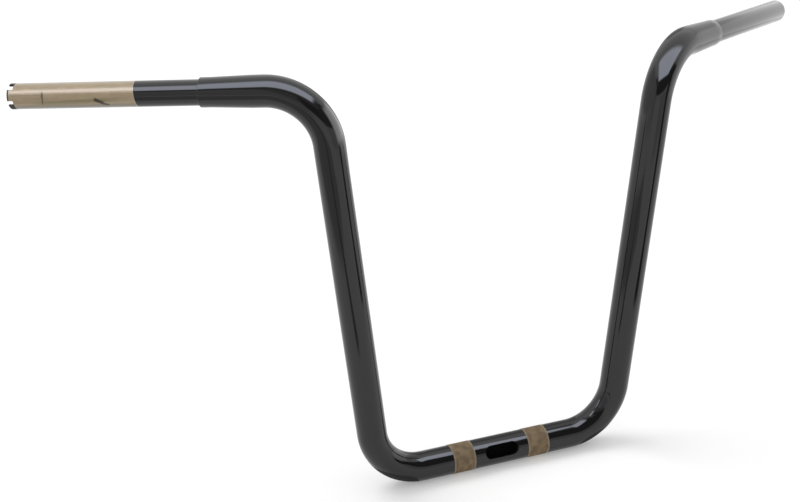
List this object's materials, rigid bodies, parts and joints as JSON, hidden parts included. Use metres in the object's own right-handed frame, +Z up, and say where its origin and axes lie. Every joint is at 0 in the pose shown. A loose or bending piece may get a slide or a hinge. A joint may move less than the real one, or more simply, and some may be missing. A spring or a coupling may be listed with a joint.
{
  "type": "motorcycle handlebar",
  "caption": "Tall U-shaped motorcycle handlebar: fat gloss black bent tube with knurled clamp lands and a wiring slot, slimmer pulled-back grip tubes, throttle end notched for a sensor.",
  "frame": {"origin": "on the axis of the fat tube's lower straight run, midway between the two clamp lands", "axes": "+X along the clamp axis to the rider's left, +Y back towards the rider, +Z up; the uprights lie in the XZ plane"},
  "size_m": [0.9155, 0.1941, 0.4556],
  "materials": {
    "gloss_black": "gloss black coating on steel tube, with bare knurled bands on the clamp lands",
    "bare_steel": "bare drawn steel on the outer part, gloss black coating on the control seat next to the lip"
  },
  "bodies": {
    "root": {"handlebar_tube": "gloss_black", "clutch_grip_tube": "gloss_black", "throttle_grip_tube": "bare_steel"}
  },
  "joints": []
}
